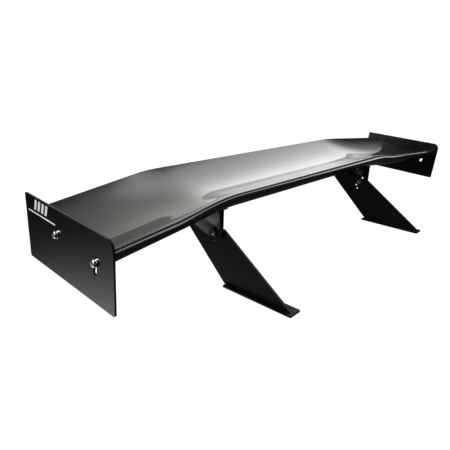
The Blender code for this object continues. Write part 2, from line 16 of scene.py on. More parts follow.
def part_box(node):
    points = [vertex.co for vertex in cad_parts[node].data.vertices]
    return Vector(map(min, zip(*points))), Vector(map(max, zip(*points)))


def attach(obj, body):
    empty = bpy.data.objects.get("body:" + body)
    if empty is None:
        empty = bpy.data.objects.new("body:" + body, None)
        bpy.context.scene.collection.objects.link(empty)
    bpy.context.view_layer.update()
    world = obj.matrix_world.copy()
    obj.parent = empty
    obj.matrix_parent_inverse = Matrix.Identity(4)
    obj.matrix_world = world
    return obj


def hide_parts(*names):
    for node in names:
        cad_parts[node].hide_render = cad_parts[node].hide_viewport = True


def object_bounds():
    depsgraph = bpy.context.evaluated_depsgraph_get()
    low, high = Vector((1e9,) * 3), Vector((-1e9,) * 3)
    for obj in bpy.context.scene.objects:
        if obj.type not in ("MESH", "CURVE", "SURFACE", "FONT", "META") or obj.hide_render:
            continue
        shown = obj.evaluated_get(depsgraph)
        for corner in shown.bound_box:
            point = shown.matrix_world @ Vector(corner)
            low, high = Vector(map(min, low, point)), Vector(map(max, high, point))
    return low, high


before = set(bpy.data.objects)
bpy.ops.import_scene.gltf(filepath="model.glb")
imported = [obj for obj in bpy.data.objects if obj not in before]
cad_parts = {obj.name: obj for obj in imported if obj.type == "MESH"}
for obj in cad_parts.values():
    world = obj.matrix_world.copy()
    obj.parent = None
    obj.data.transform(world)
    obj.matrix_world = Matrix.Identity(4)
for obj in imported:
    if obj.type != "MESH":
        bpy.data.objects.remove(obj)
cad_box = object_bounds()

# Clearances
GAP = 0.0003
SLOT_PLAY = 0.0005

# Wing frame: its origin is the middle of the end plates, and it is pitched nose down
WING_PITCH = math.radians(3.4)
WING_FRAME = Matrix.Translation((0.0, 0.0375, 0.193)) @ Matrix.Rotation(WING_PITCH, 4, "X")

# Airfoil planform in the wing frame: distance from the middle, then y and z
TIP = 0.7655
NOSE_LINE = (
    (0.0, -0.072, 0.0425),
    (0.404, -0.072, 0.0425),
    (0.534, -0.086, 0.0300),
    (TIP, -0.137, 0.0350),
)
TAIL_LINE = ((0.0, 0.182, 0.0590), (0.452, 0.182, 0.0590), (TIP, 0.0925, 0.0537))
KINK_ROUNDING = 0.045

# Airfoil section, as shares of the chord
CAMBER = 0.165
THICKNESS = 0.14
SEAM_AT = 0.3265
SEAM_GAP = 0.0036
NOSE_ROLL = 0.17
NOSE_ROLL_REACH = 0.045
# The four-digit series' thickness: the factor and the power of each term
THICKNESS_TERMS = ((0.2969, 0.5), (-0.1260, 1), (-0.3516, 2), (0.2843, 3), (-0.1036, 4))

# Airfoil skins, in metres, and how many steps their surface takes
TAIL_HALF_THICKNESS = 0.0017
SKIN = 0.0015
HALF_SPAN_STEPS = 110
CHORD_STEPS = 72

# End plates, in the wing frame
PLATE_LENGTH = 0.300
PLATE_HEIGHT = 0.138
PLATE_NOSE_RADIUS = 0.019
PLATE_CORNER_RADIUS = 0.004
PLATE_REAR_BOLT = Vector((0.0315, 0.019))
PLATE_FRONT_BOLT = Vector((-0.097, 0.012))
PLATE_TRAVEL = math.radians(9.0)

# Feet
FOOT_HOLES = 4
FOOT_HOLE_RADIUS = 0.0035
FOOT_HOLE_INSET = 0.022
FOOT_CORNER_RADIUS = 0.002

# Uprights as y and z: the clamp bolt and the index holes lie round the pivot, at a radius
# and an angle down from level
PIVOT = Vector((0.1445, 0.1735))
CLAMP_RADIUS = 0.1278
CLAMP_ANGLE = math.radians(18.0)
WING_TRAVEL = math.radians(7.0)
INDEX_HOLES = ((0.1198, math.radians(26.4)), (0.1305, math.radians(29.8)))
INDEX_HOLE_RADIUS = 0.0035
UPRIGHT_REAR_FOOT = -0.0101
UPRIGHT_TOP_REAR = 0.1819
UPRIGHT_TOP_FRONT = 0.1295
UPRIGHT_TOP_RADIUS = 0.010
UPRIGHT_STEP = ((0.0400, 0.1465, 0.010), (-0.0032, 0.1455, 0.006))

# T brackets: the web's outline as y and z, the slopes of its top edge past the flange at the
# front and the rear, and the flange's ends and screws as shares of the chord
WEB_FRONT = -0.0021
WEB_REAR = 0.1615
WEB_BOTTOM = ((WEB_FRONT, 0.1232, 0.003), (0.0475, 0.1232, 0.020), (WEB_REAR, 0.1605, 0.008))
WEB_TOP_SLOPES = (0.35, 0.45)
WEB_THICKNESS = 0.006
FLANGE_THICKNESS = 0.004
FLANGE_HALF_WIDTH = 0.0293
FLANGE_FROM = 0.1915
FLANGE_TO = 0.80
FLANGE_STEPS = 12
FLANGE_CHORD_STEPS = 40
SCREW_PLACES = (0.28, 0.66)
SCREW_SPREAD = 0.0185
SCREW_SQUARING = 0.02

# Edges: their rounding, the least angle that is rounded, and the most that is shaded smooth
EDGE_ROUNDING = 0.0005
EDGE_ROUNDING_STEPS = 2
SHARP_EDGE = math.radians(50)
SMOOTH_EDGE = math.radians(35)

# Badge on each end plate, in the wing frame
BADGE_BARS = 4
BADGE_TOP = 0.0645
BADGE_BOTTOM = 0.0435
BADGE_REAR = 0.1150
BADGE_PITCH = 0.0140
BADGE_BAR = 0.0080
BADGE_SLANT = 0.0070
BADGE_LINE = (0.0380, 0.0350, 0.1390, 0.0340)
BADGE_THICKNESS = 0.00012

# Fasteners: the shank, head and socket are radii
Bolt = namedtuple("Bolt", "shank length head height socket pitch")
BOLTS = {
    "pivot_bolt": Bolt(0.004, 0.026, 0.0070, 0.0044, 0.0029, 0.00125),
    "clamp_bolt": Bolt(0.003, 0.025, 0.0053, 0.0033, 0.0023, 0.0010),
    "plate_bolt": Bolt(0.004, 0.022, 0.0072, 0.0046, 0.0029, 0.00125),
    "flange_screw": Bolt(0.0025, 0.012, 0.00475, 0.00275, 0.0017, 0.0008),
}

# Fastener details in steps or metres
ROUND_STEPS = 48
DOME_STEPS = 8
HEAD_EDGE = 0.0002
WASHER_EDGE = 0.00022
MERGE_DISTANCE = 0.00001

# Fastener details as shares of the head, the shank, the thread's pitch or the nut's corners
HEAD_CROWN = 0.60
HEAD_RIM = 0.22
SOCKET_FLOOR = 0.38
SOCKET_TOP = 1.5
THREAD_FROM = 0.45
THREAD_ROOT = 0.90
THREAD_VALLEY = (0.45, 0.55)
THREAD_CREST = 0.95
POINT_RADIUS = 0.8
NUT_BLANK = 1.02
NUT_CHAMFER = 0.6

# How far each bolt's socket happens to be turned, in radians
CLAMPED_TURN = 0.3
PLATE_TURNS = (("front", 0.2), ("rear", 0.7))

SIDES = (("left", 1), ("right", -1))

# The studio's soft boxes: where each one's left, right, lower and upper edge fades in, as
# pairs of degrees of bearing (from +Y toward +X) or elevation, then its radiance.
SOFT_BOXES = (
    ((100.0, 104.0), (114.0, 110.0), (0.0, 8.0), (60.0, 50.0), 4.0),
    ((-130.0, -110.0), (-70.0, -86.0), (0.0, 20.0), (75.0, 50.0), 2.8),
    ((-48.0, -40.0), (0.0, -8.0), (-85.0, -75.0), (-20.0, -40.0), 2.1),
)
ROOM_GLOW = 0.03

# The lit backdrop close behind the wing, which faces it from a bearing. It has an even wash
# and a brighter round patch. Places are metres along it and up it, and each fade runs from
# dark to bright. The patch's reach is how far it gets to the left, right and top.
PANEL_BEARING = math.radians(15.0)
PANEL_DISTANCE = 0.5
WASH_GLOW = 1.5
WASH_LEFT = (-1.20, 0.28)
WASH_RIGHT = (1.62, 0.45)
WASH_TOP = (2.10, 0.60)
WASH_BOTTOM = (-0.10, 0.42)
PATCH_GLOW = 1.5
PATCH_CENTRE = (0.317, 0.472)
PATCH_REACH = (0.541, 0.720, 0.881)
PATCH_FADE = (1.0, 0.594)
PATCH_BOTTOM = (0.10, 0.46)
TINT_CHANGES = (-0.60, 0.90)
LEFT_TINT = (1.0, 0.985, 0.925)
RIGHT_TINT = (0.955, 0.965, 1.0)

# The lamp over the floor beside the right end plate
LAMP_PLACE = (-1.4, 0.1, 1.3)
LAMP_TARGET = (-0.92, 0.0, 0.0)
LAMP_CONE = math.radians(26.0)
LAMP_RADIUS = 0.2
LAMP_POWER = 200.0

# Floor, just under the feet
FLOOR_SIZE = 30.0
FLOOR_DROP = 0.0005
FLOOR_COLOR = (0.30, 0.30, 0.30, 1.0)
FLOOR_GLOW = 0.97

# Camera: metres, degrees, and millimetres of lens and sensor
CAMERA_PLACE = (-1.1087, -0.6487, 0.5042)
CAMERA_ANGLES = (70.310, -1.801, -47.511)
CAMERA_LENS = 34.31
CAMERA_SENSOR = 36.0

# Carbon: metres per tow, the four steps of a two-by-two twill, and how its tows vary
TOW = 0.0022
TWILL_STEPS = 4.0
TWILL_OVER = 1.5
WEFT_COLORS = ((0.006, 0.006, 0.005), (0.010, 0.010, 0.009))
WARP_COLORS = ((0.018, 0.0175, 0.016), (0.028, 0.027, 0.025))
TOW_ROUGHNESS = (0.60, 0.46)
TOW_SPECULAR = 0.02
COAT_ROUGHNESS = 0.04
COAT_IOR = 1.5

# Other finishes: how their roughness and color vary
COATING_SPREAD = 0.03
BRUSHED_SMOOTHER = 0.05
BRUSHED_ROUGHER = 0.07
BRUSHED_DARKEST = 0.85
PRINT_COLORS = ((0.72, 0.73, 0.74), (0.84, 0.85, 0.86))
PRINT_ROUGHNESS = 0.45
FLOOR_ROUGHNESS = 0.9


# Shader helpers


def new_material(name):
    material = bpy.data.materials.new(name)
    material.use_nodes = True
    return material, material.node_tree.nodes["Principled BSDF"]


def add_node(tree, kind, **settings):
    node = tree.nodes.new(kind)
    for name, value in settings.items():
        setattr(node, name, value)
    return node


def calculate(tree, operation, *values):
    """A Math node on sockets or numbers."""
    node = add_node(tree, "ShaderNodeMath", operation=operation)
    for socket, value in zip(node.inputs, values):
        if isinstance(value, bpy.types.NodeSocket):
            tree.links.new(value, socket)
        else:
            socket.default_value = value
    return node.outputs[0]


def blend_color(tree, share, low, high):
    node = add_node(tree, "ShaderNodeMix", data_type="RGBA")
    tree.links.new(share, node.inputs["Factor"])
    for name, value in (("A", low), ("B", high)):
        socket = next(s for s in node.inputs if s.name == name and s.type == "RGBA")
        if isinstance(value, bpy.types.NodeSocket):
            tree.links.new(value, socket)
        else:
            socket.default_value = (*value, 1.0)
    return next(s for s in node.outputs if s.type == "RGBA")


def object_axes(tree):
    place = add_node(tree, "ShaderNodeTexCoord").outputs["Object"]
    split = add_node(tree, "ShaderNodeSeparateXYZ")
    tree.links.new(place, split.inputs[0])
    return place, split.outputs


def noise(tree, place, scale, detail=3.0, stretch=None):
    if stretch is not None:
        mapping = add_node(tree, "ShaderNodeMapping")
        mapping.inputs["Scale"].default_value = stretch
        tree.links.new(place, mapping.inputs["Vector"])
        place = mapping.outputs[0]
    texture = add_node(tree, "ShaderNodeTexNoise")
    texture.inputs["Scale"].default_value = scale
    texture.inputs["Detail"].default_value = detail
    tree.links.new(place, texture.inputs["Vector"])
    return texture.outputs["Fac"]


def between(tree, value, low, high):
    node = add_node(tree, "ShaderNodeMapRange")
    node.inputs["To Min"].default_value = low
    node.inputs["To Max"].default_value = high
    tree.links.new(value, node.inputs["Value"])
    return node.outputs[0]


def add_bump(tree, shader, height, strength, distance):
    bump = add_node(tree, "ShaderNodeBump")
    bump.inputs["Strength"].default_value = strength
    bump.inputs["Distance"].default_value = distance
    tree.links.new(height, bump.inputs["Height"])
    tree.links.new(bump.outputs[0], shader.inputs["Normal"])


# Materials


def make_carbon(name):
    """Two-by-two twill under a clear coat: tows run along the span and along the chord."""
    material, shader = new_material(name)
    tree = material.node_tree
    place, axes = object_axes(tree)
    across = calculate(tree, "DIVIDE", axes["X"], TOW)
    along = calculate(tree, "DIVIDE", axes["Y"], TOW)
    columns = calculate(tree, "FLOOR", across)
    rows = calculate(tree, "FLOOR", along)
    turn = calculate(tree, "FLOORED_MODULO", calculate(tree, "SUBTRACT", columns, rows), TWILL_STEPS)
    warp_on_top = calculate(tree, "LESS_THAN", turn, TWILL_OVER)
    warp_rise = tow_rise(tree, across)
    weft_rise = tow_rise(tree, along)
    difference = calculate(tree, "SUBTRACT", warp_rise, weft_rise)
    rise = calculate(tree, "ADD", weft_rise, calculate(tree, "MULTIPLY", warp_on_top, difference))
    fibres = noise(tree, place, scale=60.0, detail=2.0)
    weft = blend_color(tree, fibres, *WEFT_COLORS)
    warp = blend_color(tree, fibres, *WARP_COLORS)
    tree.links.new(blend_color(tree, warp_on_top, weft, warp), shader.inputs["Base Color"])
    tree.links.new(between(tree, rise, *TOW_ROUGHNESS), shader.inputs["Roughness"])
    shader.inputs["Specular IOR Level"].default_value = TOW_SPECULAR
    shader.inputs["Coat Weight"].default_value = 1.0
    shader.inputs["Coat Roughness"].default_value = COAT_ROUGHNESS
    shader.inputs["Coat IOR"].default_value = COAT_IOR
    add_bump(tree, shader, rise, strength=0.25, distance=0.0002)
    smooth = add_node(tree, "ShaderNodeNewGeometry").outputs["Normal"]
    tree.links.new(smooth, shader.inputs["Coat Normal"])
    return material


def tow_rise(tree, position):
    """The rounded height across one tow, from its edges to its middle."""
    doubled = calculate(tree, "MULTIPLY", calculate(tree, "FRACT", position), 2.0)
    centred = calculate(tree, "SUBTRACT", doubled, 1.0)
    return calculate(tree, "SUBTRACT", 1.0, calculate(tree, "MULTIPLY", centred, centred))


def make_black(name, low, high, roughness, specular):
    """A black coating on flat plate, with a fine even texture."""
    material, shader = new_material(name)
    tree = material.node_tree
    place, _ = object_axes(tree)
    cloud = noise(tree, place, scale=14.0)
    tree.links.new(blend_color(tree, cloud, (low,) * 3, (high,) * 3), shader.inputs["Base Color"])
    roughnesses = (roughness - COATING_SPREAD, roughness + COATING_SPREAD)
    tree.links.new(between(tree, cloud, *roughnesses), shader.inputs["Roughness"])
    shader.inputs["Specular IOR Level"].default_value = specular
    grain = noise(tree, place, scale=900.0, detail=2.0)
    add_bump(tree, shader, grain, strength=0.05, distance=0.0001)
    return material


def make_metal(name, color, roughness, brush):
    """Bare metal with brushing stretched along one axis."""
    material, shader = new_material(name)
    tree = material.node_tree
    place, _ = object_axes(tree)
    streaks = noise(tree, place, scale=400.0, stretch=brush)
    dark = tuple(BRUSHED_DARKEST * channel for channel in color)
    tree.links.new(blend_color(tree, streaks, dark, color), shader.inputs["Base Color"])
    roughnesses = (roughness - BRUSHED_SMOOTHER, roughness + BRUSHED_ROUGHER)
    tree.links.new(between(tree, streaks, *roughnesses), shader.inputs["Roughness"])
    shader.inputs["Metallic"].default_value = 1.0
    add_bump(tree, shader, streaks, strength=0.08, distance=0.0001)
    return material


def make_print(name):
    """White screen print, a little uneven in its cover."""
    material, shader = new_material(name)
    tree = material.node_tree
    place, _ = object_axes(tree)
    cover = noise(tree, place, scale=220.0)
    tree.links.new(blend_color(tree, cover, *PRINT_COLORS), shader.inputs["Base Color"])
    shader.inputs["Roughness"].default_value = PRINT_ROUGHNESS
    return material


CARBON = make_carbon("carbon_twill")
PLATE_BLACK = make_black("plate_black", low=0.0028, high=0.0048, roughness=0.20, specular=0.5)
UPRIGHT_BLACK = make_black("upright_black", low=0.004, high=0.007, roughness=0.34, specular=0.25)
ALUMINIUM = make_metal("machined_aluminium", (0.62, 0.63, 0.65), roughness=0.34, brush=(1.0, 14.0, 14.0))
STAINLESS = make_metal("polished_stainless", (0.78, 0.78, 0.77), roughness=0.16, brush=(6.0, 1.0, 1.0))
PRINT = make_print("white_print")


# Mesh helpers


def mesh_from(build, is_closed=True):
    bm = bmesh.new()
    build(bm)
    if is_closed:
        bmesh.ops.recalc_face_normals(bm, faces=bm.faces)
    mesh = bpy.data.meshes.new("mesh")
    bm.to_mesh(mesh)
    bm.free()
    return mesh


def add_piece(name, data, material, place=None):
    piece = bpy.data.objects.new(name, data)
    bpy.context.scene.collection.objects.link(piece)
    if place is not None:
        piece.matrix_world = place
    if not data.materials:
        data.materials.append(material)
    return piece


def finished(piece):
    """Applies a piece's curve and modifiers, and shades it smooth between its sharp edges."""
    bpy.context.view_layer.update()
    graph = bpy.context.evaluated_depsgraph_get()
    mesh = bpy.data.meshes.new_from_object(piece.evaluated_get(graph))
    bm = bmesh.new()
    bm.from_mesh(mesh)
    bmesh.ops.remove_doubles(bm, verts=bm.verts, dist=1e-6)
    bmesh.ops.recalc_face_normals(bm, faces=bm.faces)
    bm.to_mesh(mesh)
    bm.free()
    mesh.shade_smooth()
    mesh.set_sharp_from_angle(angle=SMOOTH_EDGE)
    name, place = piece.name, piece.matrix_world.copy()
    bpy.data.objects.remove(piece)
    solid = bpy.data.objects.new(name, mesh)
    bpy.context.scene.collection.objects.link(solid)
    solid.matrix_world = place
    return solid


def hand_over(piece, body, slot, *nodes):
    """The piece rides the body and takes the place of these solids."""
    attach(piece, body)
    if nodes:
        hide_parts(*nodes)
    return piece


def side_view(x, y=0.0, z=0.0):
    """Turns a flat drawing of (y, z) to face along the span, at a distance x."""
    turned = Matrix(((0, 0, 1, 0), (1, 0, 0, 0), (0, 1, 0, 0), (0, 0, 0, 1)))
    return Matrix.Translation((x, y, z)) @ turned


def arc_points(center, radius, start, end, steps):
    return [
        (
            center[0] + radius * math.cos(start + (end - start) * i / steps),
            center[1] + radius * math.sin(start + (end - start) * i / steps),
        )
        for i in range(steps + 1)
    ]


def circle_points(center, radius):
    return arc_points(center, radius, 0.0, math.tau, ROUND_STEPS)[:-1]


def rounded(corners, steps=8):
    """The outline through corners of (y, z, radius), with each corner's radius as an arc."""
    points = []
    for i, (y, z, radius) in enumerate(corners):
        here = Vector((y, z))
        if radius == 0.0:
            points.append(here[:])
            continue
        before = (Vector(corners[i - 1][:2]) - here).normalized()
        after = (Vector(corners[(i + 1) % len(corners)][:2]) - here).normalized()
        half = before.angle(after) / 2
        center = here + (before + after).normalized() * radius / math.sin(half)
        start = here + before * radius / math.tan(half) - center
        end = here + after * radius / math.tan(half) - center
        turn = start.angle_signed(end)
        for step in range(steps + 1):
            points.append((center + Matrix.Rotation(-turn * step / steps, 2) @ start)[:])
    return points


def arc_slot(center, radius, start, end, half_width, steps=16):
    """A slot of round ends whose middle line is an arc."""
    first = (center[0] + radius * math.cos(start), center[1] + radius * math.sin(start))
    last = (center[0] + radius * math.cos(end), center[1] + radius * math.sin(end))
    turn = math.copysign(math.pi, end - start)
    points = arc_points(center, radius + half_width, start, end, steps)
    points += arc_points(last, half_width, end, end + turn, steps)[1:-1]
    points += arc_points(center, radius - half_width, end, start, steps)
    points += arc_points(first, half_width, start + math.pi, start + math.pi + turn, steps)[1:-1]
    return points


def plate(name, outline, holes, thickness, material, place, rounding=EDGE_ROUNDING):
    """A flat plate with rounded edges: a filled 2D curve, where each hole is a further spline."""
    curve = bpy.data.curves.new(name, "CURVE")
    curve.dimensions = "2D"
    curve.fill_mode = "BOTH"
    curve.extrude = thickness / 2
    for points in (outline, *holes):
        spline = curve.splines.new("POLY")
        spline.points.add(len(points) - 1)
        for point, (across, up) in zip(spline.points, points):
            point.co = (across, up, 0.0, 1.0)
        spline.use_cyclic_u = True
    piece = finished(add_piece(name, curve, material, place))
    if rounding:
        round_edges(piece, rounding).harden_normals = True
    return piece


def round_edges(piece, rounding):
    bevel = piece.modifiers.new("Bevel", "BEVEL")
    bevel.width = rounding
    bevel.segments = EDGE_ROUNDING_STEPS
    bevel.limit_method = "ANGLE"
    bevel.angle_limit = SHARP_EDGE
    return bevel


# Airfoil surface, in the wing frame


def past_kink(distance):
    """The distance past a kink, eased in over the kink's rounding."""
    if distance <= -KINK_ROUNDING:
        return 0.0
    if distance >= KINK_ROUNDING:
        return distance
    return (distance + KINK_ROUNDING) ** 2 / (4 * KINK_ROUNDING)


def along(line, x):
    """(y, z) of a planform line at a distance x from the middle, with its kinks rounded."""
    x = abs(x)
    place = Vector(line[0][1:])
    last_slope = Vector((0.0, 0.0))
    for (x0, *start), (x1, *end) in zip(line, line[1:]):
        slope = (Vector(end) - Vector(start)) / (x1 - x0)
        reach = past_kink(x - x0) if x0 > 0.0 else x
        place += (slope - last_slope) * reach
        last_slope = slope
    return place


def half_thickness(share, chord):
    """The four-digit series' half thickness, closed at the tail, plus a square tail edge."""
    terms = sum(factor * share**power for factor, power in THICKNESS_TERMS)
    return 5 * THICKNESS * terms * chord + TAIL_HALF_THICKNESS * share


def nose_roll(share, chord):
    """What the blunt nose adds to the top of the plain section."""
    return NOSE_ROLL * chord * math.sqrt(share) * math.exp(-((share / NOSE_ROLL_REACH) ** 2))


def surface(x, share, side, depth=0.0):
    """The skin at a share of the chord: side is 1 on top and -1 below, depth is inwards."""
    nose = along(NOSE_LINE, x)
    tail = along(TAIL_LINE, x)
    chord = (tail - nose).length
    forward = (tail - nose) / chord
    upward = Vector((-forward[1], forward[0]))
    drop = 4 * CAMBER * share * (1 - share) * chord
    slope = 4 * CAMBER * (1 - 2 * share)
    normal = (forward * slope + upward).normalized()
    offset = side * (half_thickness(share, chord) - depth)
    if side > 0:
        offset += nose_roll(share, chord)
    point = nose + forward * share * chord - upward * drop + normal * offset
    return Vector((x, point[0], point[1]))


def shares(start, end, steps):
    """Shares of the chord that crowd towards the nose, where the section bends most."""
    first, last = math.sqrt(start), math.sqrt(end)
    return [(first + (last - first) * i / steps) ** 2 for i in range(steps + 1)]


def skin(name, rows):
    """A skin lofted along the span. rows(x) gives its points, running forward on top."""

    def build(bm):
        xs = [TIP * (i / HALF_SPAN_STEPS - 1) for i in range(2 * HALF_SPAN_STEPS + 1)]
        grid = [[bm.verts.new(point) for point in rows(x)] for x in xs]
        for near, far in zip(grid, grid[1:]):
            for i in range(len(near) - 1):
                bm.faces.new((near[i], near[i + 1], far[i + 1], far[i]))

    mesh = mesh_from(build, is_closed=False)
    mesh.transform(WING_FRAME)
    piece = add_piece(name, mesh, CARBON)
    shell = piece.modifiers.new("Solidify", "SOLIDIFY")
    shell.thickness = SKIN
    shell.offset = -1.0
    shell.use_even_offset = True
    return finished(piece)


def lower_rows(x):
    """From the seam on top, round the nose and back along the underside."""
    over_nose = [surface(x, share, 1) for share in shares(0.0, SEAM_AT, CHORD_STEPS // 2)[:0:-1]]
    return over_nose + [surface(x, share, -1) for share in shares(0.0, 1.0, CHORD_STEPS)]


def upper_rows(x):
    """From the tail forward to the seam."""
    return [surface(x, share, 1) for share in reversed(shares(SEAM_AT + SEAM_GAP, 1.0, CHORD_STEPS))]


def make_airfoil():
    hand_over(skin("upper_skin_laminate", upper_rows), "wing", "carbon", "upper_skin")
    hand_over(skin("lower_skin_laminate", lower_rows), "wing", "carbon", "lower_skin")


# End plates


def make_end_plate(label, sign):
    low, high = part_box(f"end_plate_{label}")
    bolt_y, bolt_z = PLATE_REAR_BOLT
    front, rear = -PLATE_LENGTH / 2 - bolt_y, PLATE_LENGTH / 2 - bolt_y
    bottom, top = -PLATE_HEIGHT / 2 - bolt_z, PLATE_HEIGHT / 2 - bolt_z
    outline = rounded(
        (
            (front, bottom, PLATE_CORNER_RADIUS),
            (rear, bottom, PLATE_CORNER_RADIUS),
            (rear, top, PLATE_CORNER_RADIUS),
            (front, top, PLATE_NOSE_RADIUS),
        )
    )
    reach = PLATE_FRONT_BOLT - PLATE_REAR_BOLT
    angle = math.pi + math.atan2(-reach[1], -reach[0])
    half_width = BOLTS["plate_bolt"].shank + SLOT_PLAY
    slot = arc_slot((0.0, 0.0), reach.length, angle, angle + PLATE_TRAVEL, half_width)
    middle = (low.x + high.x) / 2
    place = WING_FRAME @ side_view(middle, bolt_y, bolt_z)
    holes = (circle_points((0.0, 0.0), half_width), slot)
    panel = plate(f"end_plate_panel_{label}", outline, holes, high.x - low.x, PLATE_BLACK, place)
    hand_over(panel, f"end_plate_{label}", "black_plate", f"end_plate_{label}")
    make_badge(label, sign, sign * max(abs(low.x), abs(high.x)))


def make_badge(label, sign, face):
    """A plain printed badge at the top rear corner: slanted bars over a thin line."""
    x = face + sign * BADGE_THICKNESS / 2
    marks = []
    for i in range(BADGE_BARS):
        rear = BADGE_REAR - i * BADGE_PITCH
        marks.append(
            (
                (rear, BADGE_BOTTOM),
                (rear - BADGE_BAR, BADGE_BOTTOM),
                (rear - BADGE_BAR - BADGE_SLANT, BADGE_TOP),
                (rear - BADGE_SLANT, BADGE_TOP),
            )
        )
    top, bottom, rear, front = BADGE_LINE
    marks.append(((rear, bottom), (front, bottom), (front, top), (rear, top)))
    place = WING_FRAME @ side_view(x)
    badge = plate(f"badge_{label}", marks[0], marks[1:], BADGE_THICKNESS, PRINT, place, rounding=0.0)
    hand_over(badge, f"end_plate_{label}", "black_plate")


# Uprights, feet and brackets


def round_pivot(radius, angle):
    """The place forward of the pivot by radius, turned down from level by angle."""
    return (PIVOT[0] - radius * math.cos(angle), PIVOT[1] - radius * math.sin(angle))


def make_upright(label):
    low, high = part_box(f"upright_{label}")
    corners = (
        (low.y, low.z, 0.0),
        (UPRIGHT_REAR_FOOT, low.z, 0.0),
        (UPRIGHT_TOP_REAR, high.z, UPRIGHT_TOP_RADIUS),
        (UPRIGHT_TOP_FRONT, high.z, UPRIGHT_TOP_RADIUS),
        *UPRIGHT_STEP,
    )
    clamp = round_pivot(CLAMP_RADIUS, CLAMP_ANGLE)
    holes = [
        circle_points(PIVOT, BOLTS["pivot_bolt"].shank + SLOT_PLAY),
        circle_points(clamp, BOLTS["clamp_bolt"].shank + SLOT_PLAY),
    ]
    holes += [circle_points(round_pivot(*place), INDEX_HOLE_RADIUS) for place in INDEX_HOLES]
    place = side_view((low.x + high.x) / 2)
    leg = plate(f"upright_leg_{label}", rounded(corners), holes, high.x - low.x, UPRIGHT_BLACK, place)
    hand_over(leg, "pedestals", "black_upright", f"upright_{label}")


def make_foot(label):
    low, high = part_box(f"foot_{label}")
    upright_low, upright_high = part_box(f"upright_{label}")
    corners = ((low.x, low.y), (high.x, low.y), (high.x, high.y), (low.x, high.y))
    outline = rounded([(*corner, FOOT_CORNER_RADIUS) for corner in corners])
    inner = min((low.x, high.x), key=abs)
    upright_inner = min((upright_low.x, upright_high.x), key=abs)
    spacing = (high.y - low.y - 2 * FOOT_HOLE_INSET) / (FOOT_HOLES - 1)
    beside = (inner + upright_inner) / 2
    rows = [low.y + FOOT_HOLE_INSET + spacing * i for i in range(FOOT_HOLES)]
    holes = [circle_points((beside, y), FOOT_HOLE_RADIUS) for y in rows]
    place = Matrix.Translation((0.0, 0.0, (low.z + high.z) / 2))
    sole = plate(f"foot_strip_{label}", outline, holes, high.z - low.z, UPRIGHT_BLACK, place)
    hand_over(sole, "pedestals", "black_upright", f"foot_{label}")


def web_middle():
    """The middle of the left bracket's web, just outboard of the upright."""
    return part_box("upright_left")[1].x + GAP + WEB_THICKNESS / 2


def web_outline():
    """The web's side view: its top edge runs inside the flange, half way through it."""
    top = []
    for share in shares(FLANGE_FROM, FLANGE_TO, FLANGE_CHORD_STEPS):
        point = WING_FRAME @ surface(web_middle(), share, -1, -GAP - FLANGE_THICKNESS / 2)
        if WEB_FRONT < point.y < WEB_REAR:
            top.append((point.y, point.z))
    front_slope, rear_slope = WEB_TOP_SLOPES
    (front_y, front_z), (rear_y, rear_z) = top[0], top[-1]
    front_top = (WEB_FRONT, front_z + (front_y - WEB_FRONT) * front_slope, 0.0)
    rear_top = (WEB_REAR, rear_z + (WEB_REAR - rear_y) * rear_slope, 0.0)
    return rounded([*WEB_BOTTOM, rear_top, *((y, z, 0.0) for y, z in reversed(top)), front_top])


def flange_mesh(sign):
    """The flange follows the airfoil's underside between two depths."""
    asides = [2 * i / FLANGE_STEPS - 1 for i in range(FLANGE_STEPS + 1)]
    xs = [sign * (web_middle() + FLANGE_HALF_WIDTH * aside) for aside in asides]
    along_chord = shares(FLANGE_FROM, FLANGE_TO, FLANGE_CHORD_STEPS)

    def build(bm):
        grid = []
        for x in xs:
            bottom = [surface(x, share, -1, -GAP - FLANGE_THICKNESS) for share in along_chord]
            top = [surface(x, share, -1, -GAP) for share in reversed(along_chord)]
            grid.append([bm.verts.new(WING_FRAME @ point) for point in bottom + top])
        count = len(grid[0])
        for near, far in zip(grid, grid[1:]):
            for i in range(count):
                j = (i + 1) % count
                bm.faces.new((near[i], far[i], far[j], near[j]))
        bm.faces.new(grid[0])
        bm.faces.new(reversed(grid[-1]))

    return mesh_from(build)


def make_bracket(label, sign):
    flange = add_piece(f"t_bracket_{label}", flange_mesh(sign), UPRIGHT_BLACK)
    round_edges(flange, EDGE_ROUNDING)
    slot_start = math.pi + CLAMP_ANGLE
    slot_end = slot_start - WING_TRAVEL
    holes = (
        circle_points(PIVOT, BOLTS["pivot_bolt"].shank + SLOT_PLAY),
        arc_slot(PIVOT, CLAMP_RADIUS, slot_start, slot_end, BOLTS["clamp_bolt"].shank + SLOT_PLAY),
    )
    place = side_view(sign * web_middle())
    web = plate(f"web_{label}", web_outline(), holes, WEB_THICKNESS, UPRIGHT_BLACK, place)
    join = flange.modifiers.new("Join", "BOOLEAN")
    join.operation = "UNION"
    join.object = web
    bracket = finished(flange)
    bpy.data.objects.remove(web)
    hand_over(bracket, "wing", "black_upright", f"bracket_{label}")


# Fasteners: their axis is local Z, with the head on top and its underside at zero


def turned(name, profile):
    """The solid that a profile of (radius, z) sweeps, from its top down its outer side."""
    edges = [(i, i + 1) for i in range(len(profile) - 1)]
    if profile[0][0] > 0.0:
        edges.append((len(profile) - 1, 0))
    mesh = bpy.data.meshes.new(name)
    mesh.from_pydata([(radius, 0.0, z) for radius, z in profile], edges, [])
    piece = add_piece(name, mesh, STAINLESS)
    screw = piece.modifiers.new("Screw", "SCREW")
    screw.steps = ROUND_STEPS
    screw.render_steps = ROUND_STEPS
    screw.use_merge_vertices = True
    screw.merge_threshold = MERGE_DISTANCE
    return piece


def taken_mesh(piece):
    solid = finished(piece)
    mesh = solid.data
    bpy.data.objects.remove(solid)
    return mesh


